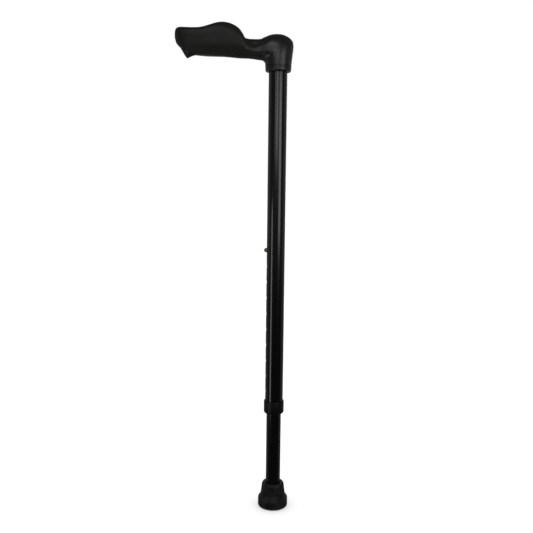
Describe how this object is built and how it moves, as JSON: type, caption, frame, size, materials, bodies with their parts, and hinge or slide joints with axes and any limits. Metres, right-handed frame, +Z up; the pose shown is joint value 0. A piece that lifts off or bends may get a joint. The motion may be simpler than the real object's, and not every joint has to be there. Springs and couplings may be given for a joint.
{
  "type": "walking stick",
  "caption": "Height-adjustable walking stick with an anatomical palm grip, telescopic tube with snap button, locking collar and rubber foot.",
  "frame": {"origin": "middle of the rubber foot's flat base, on the shaft's axis, with the stick at its shortest setting", "axes": "+Z up the shaft, -X from the shaft towards the end of the grip, -Y the finger side of the grip and the picture's side"},
  "size_m": [0.1608, 0.0524, 0.6812],
  "materials": {
    "soft_grip": "moulded black, soft satin",
    "black_aluminium": "black anodised, glossy",
    "black_plastic": "moulded black, matte",
    "rubber": "matte black",
    "brass": "polished",
    "steel": "bright zinc"
  },
  "bodies": {
    "leg": {"inner_tube": "black_aluminium", "guide_plug": "black_plastic", "button_spring": "steel", "rubber_foot": "rubber", "foot_washer": "steel"},
    "button": {"snap_button": "brass"},
    "upper": {"handle": "soft_grip", "outer_tube": "black_aluminium", "split_sleeve": "black_plastic"},
    "collar": {"locking_collar": "black_plastic"}
  },
  "joints": [
    {"name": "height_slide", "type": "slide", "parent": "leg", "child": "upper", "axis": [0, 0, 1], "range_m": [0, 0.20394], "deforming": ["snap_button"]},
    {"name": "button_press", "type": "slide", "parent": "leg", "child": "button", "axis": [1, 0, 0], "range_m": [0, 0.0052], "stiffness_N_per_m": 300, "springref_m": -0.01, "deforming": ["button_spring"]},
    {"name": "collar_turn", "type": "hinge", "parent": "upper", "child": "collar", "pos_m": [0, 0, 0.1497], "axis": [0, 0, -1], "range_deg": [0, 360]}
  ]
}
